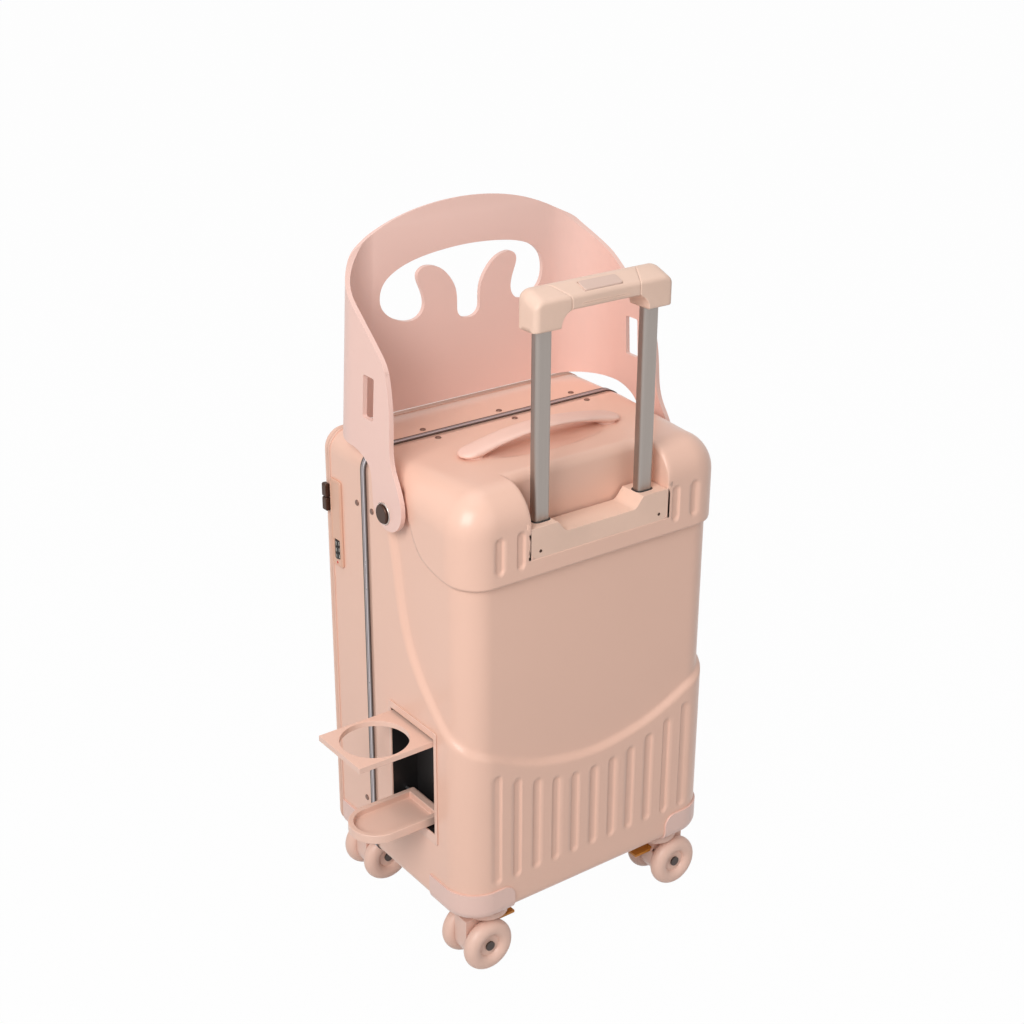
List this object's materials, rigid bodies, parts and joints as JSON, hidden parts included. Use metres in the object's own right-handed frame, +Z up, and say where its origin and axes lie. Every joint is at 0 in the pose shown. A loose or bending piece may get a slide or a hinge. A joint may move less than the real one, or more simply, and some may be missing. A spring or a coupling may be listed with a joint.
{
  "type": "ride on suitcase",
  "caption": "Upright cabin suitcase on twin-wheel casters whose folding wrap-around guard makes the top a child's seat, with a trolley handle and a fold-out cup holder.",
  "frame": {"origin": "on the floor under the middle of the case, midway between its left and right sides", "axes": "+Z up; +Y from the trolley handle towards the zipped door; +X to the right seen from the trolley side"},
  "size_m": [0.4302, 0.262, 0.766],
  "materials": {
    "shell": "glossy moulded shell",
    "guard": "glossy moulded sheet",
    "strip": "satin extrusion",
    "rivet": "satin",
    "tube": "anodised",
    "grip": "fine texture",
    "button": "fine texture",
    "housing": "fine texture",
    "strap": "soft touch",
    "mount": "fine texture",
    "bolt": "dark bronze",
    "bush": "plain",
    "steel": "plain",
    "lining": "plain",
    "cup_box": "plain black",
    "cup": "glossy moulding",
    "lock": "satin",
    "dial": "plain",
    "zip": "coated tape",
    "zip_pull": "dark bronze",
    "bracket": "glossy moulding",
    "fork": "glossy moulding",
    "wheel": "satin",
    "cap": "plain",
    "brake": "plain amber"
  },
  "bodies": {
    "case": {"rear_shell": "shell", "front_shell": "shell", "joint_strip": "strip", "frame_rivets": "rivet", "zip_tape": "zip", "door_hinge_leaf": "strip", "door_hinge_pin": "steel", "lock_plate": "lock", "lock_spindle": "steel", "trolley_housing": "housing", "trolley_sleeves": "tube", "trolley_foot": "lining", "trolley_cover": "lining", "pivot_bolts": "bolt", "pivot_bushes": "bush", "pivot_nuts": "steel", "strap_mounts": "mount", "cup_box": "cup_box", "cup_pins": "steel", "cup_bezel": "cup_box", "bracket_rear_left": "bracket", "bracket_rear_right": "bracket", "bracket_front_left": "bracket", "bracket_front_right": "bracket", "swivel_pins": "steel"},
    "door": {"front_door": "shell", "door_zip": "zip", "door_hinge_wing": "strip"},
    "zip_upper": {"zip_pull_upper": "zip_pull"},
    "zip_lower": {"zip_pull_lower": "zip_pull"},
    "dial_1": {"lock_dial_1": "dial"},
    "dial_2": {"lock_dial_2": "dial"},
    "dial_3": {"lock_dial_3": "dial"},
    "trolley": {"trolley_tubes": "tube", "tube_stops": "bush", "grip_body": "grip", "grip_cover": "grip"},
    "button": {"grip_button": "button", "release_linkage": "steel"},
    "guard": {"guard": "guard"},
    "strap": {"carry_strap": "strap"},
    "plate": {"cup_plate": "cup"},
    "tray": {"cup_tray": "cup"},
    "fork_rear_left": {"fork_rear_left": "fork", "axle_rear_left": "cap", "brake_pin_rear_left": "steel"},
    "wheels_rear_left": {"wheels_rear_left": "wheel"},
    "brake_rear_left": {"brake_rear_left": "brake"},
    "fork_rear_right": {"fork_rear_right": "fork", "axle_rear_right": "cap", "brake_pin_rear_right": "steel"},
    "wheels_rear_right": {"wheels_rear_right": "wheel"},
    "brake_rear_right": {"brake_rear_right": "brake"},
    "fork_front_left": {"fork_front_left": "fork", "axle_front_left": "cap"},
    "wheels_front_left": {"wheels_front_left": "wheel"},
    "fork_front_right": {"fork_front_right": "fork", "axle_front_right": "cap"},
    "wheels_front_right": {"wheels_front_right": "wheel"}
  },
  "joints": [
    {"name": "trolley_slide", "type": "slide", "parent": "case", "child": "trolley", "axis": [0, 0, 1], "range_m": [-0.192, 0]},
    {"name": "button_press", "type": "slide", "parent": "trolley", "child": "button", "axis": [0, 0, -1], "range_m": [0, 0.003], "stiffness_N_per_m": 500, "springref_m": -0.004},
    {"name": "guard_fold", "type": "hinge", "parent": "case", "child": "guard", "pos_m": [0, 0, 0.497], "axis": [1, 0, 0], "range_deg": [0, 35]},
    {"name": "strap_lift", "type": "slide", "parent": "case", "child": "strap", "axis": [0, 0, 1], "range_m": [0, 0.009]},
    {"name": "cup_plate_fold", "type": "hinge", "parent": "case", "child": "plate", "pos_m": [-0.162, -0.031, 0.266], "axis": [0, -1, 0], "range_deg": [0, 90]},
    {"name": "cup_tray_fold", "type": "hinge", "parent": "case", "child": "tray", "pos_m": [-0.149, -0.031, 0.168], "axis": [0, 1, 0], "range_deg": [0, 90]},
    {"name": "door_swing", "type": "hinge", "parent": "case", "child": "door", "pos_m": [0.1685, 0.11825, 0.31], "axis": [0, 0, -1], "range_deg": [0, 110]},
    {"name": "zip_upper_run", "type": "slide", "parent": "case", "child": "zip_upper", "axis": [0, 0, 1], "range_m": [0, 0.012]},
    {"name": "zip_lower_run", "type": "slide", "parent": "case", "child": "zip_lower", "axis": [0, 0, -1], "range_m": [0, 0.3]},
    {"name": "dial_1_turn", "type": "hinge", "parent": "case", "child": "dial_1", "pos_m": [-0.1636, 0.1039, 0.4105], "axis": [0, 0, 1], "continuous": true},
    {"name": "dial_2_turn", "type": "hinge", "parent": "case", "child": "dial_2", "pos_m": [-0.1636, 0.1039, 0.4177], "axis": [0, 0, 1], "continuous": true},
    {"name": "dial_3_turn", "type": "hinge", "parent": "case", "child": "dial_3", "pos_m": [-0.1636, 0.1039, 0.4249], "axis": [0, 0, 1], "continuous": true},
    {"name": "swivel_rear_left", "type": "hinge", "parent": "case", "child": "fork_rear_left", "pos_m": [-0.118, -0.092, 0.062], "axis": [0, 0, 1], "continuous": true},
    {"name": "roll_rear_left", "type": "hinge", "parent": "fork_rear_left", "child": "wheels_rear_left", "pos_m": [-0.129, -0.092, 0.029], "axis": [0, 1, 0], "continuous": true},
    {"name": "brake_press_rear_left", "type": "hinge", "parent": "fork_rear_left", "child": "brake_rear_left", "pos_m": [-0.109, -0.092, 0.044], "axis": [0, 1, 0], "range_deg": [0, 12]},
    {"name": "swivel_rear_right", "type": "hinge", "parent": "case", "child": "fork_rear_right", "pos_m": [0.118, -0.092, 0.062], "axis": [0, 0, 1], "continuous": true},
    {"name": "roll_rear_right", "type": "hinge", "parent": "fork_rear_right", "child": "wheels_rear_right", "pos_m": [0.129, -0.092, 0.029], "axis": [0, 1, 0], "continuous": true},
    {"name": "brake_press_rear_right", "type": "hinge", "parent": "fork_rear_right", "child": "brake_rear_right", "pos_m": [0.109, -0.092, 0.044], "axis": [0, -1, 0], "range_deg": [0, 12]},
    {"name": "swivel_front_left", "type": "hinge", "parent": "case", "child": "fork_front_left", "pos_m": [-0.118, 0.106, 0.062], "axis": [0, 0, 1], "continuous": true},
    {"name": "roll_front_left", "type": "hinge", "parent": "fork_front_left", "child": "wheels_front_left", "pos_m": [-0.129, 0.106, 0.029], "axis": [0, 1, 0], "continuous": true},
    {"name": "swivel_front_right", "type": "hinge", "parent": "case", "child": "fork_front_right", "pos_m": [0.118, 0.106, 0.062], "axis": [0, 0, 1], "continuous": true},
    {"name": "roll_front_right", "type": "hinge", "parent": "fork_front_right", "child": "wheels_front_right", "pos_m": [0.129, 0.106, 0.029], "axis": [0, 1, 0], "continuous": true}
  ]
}
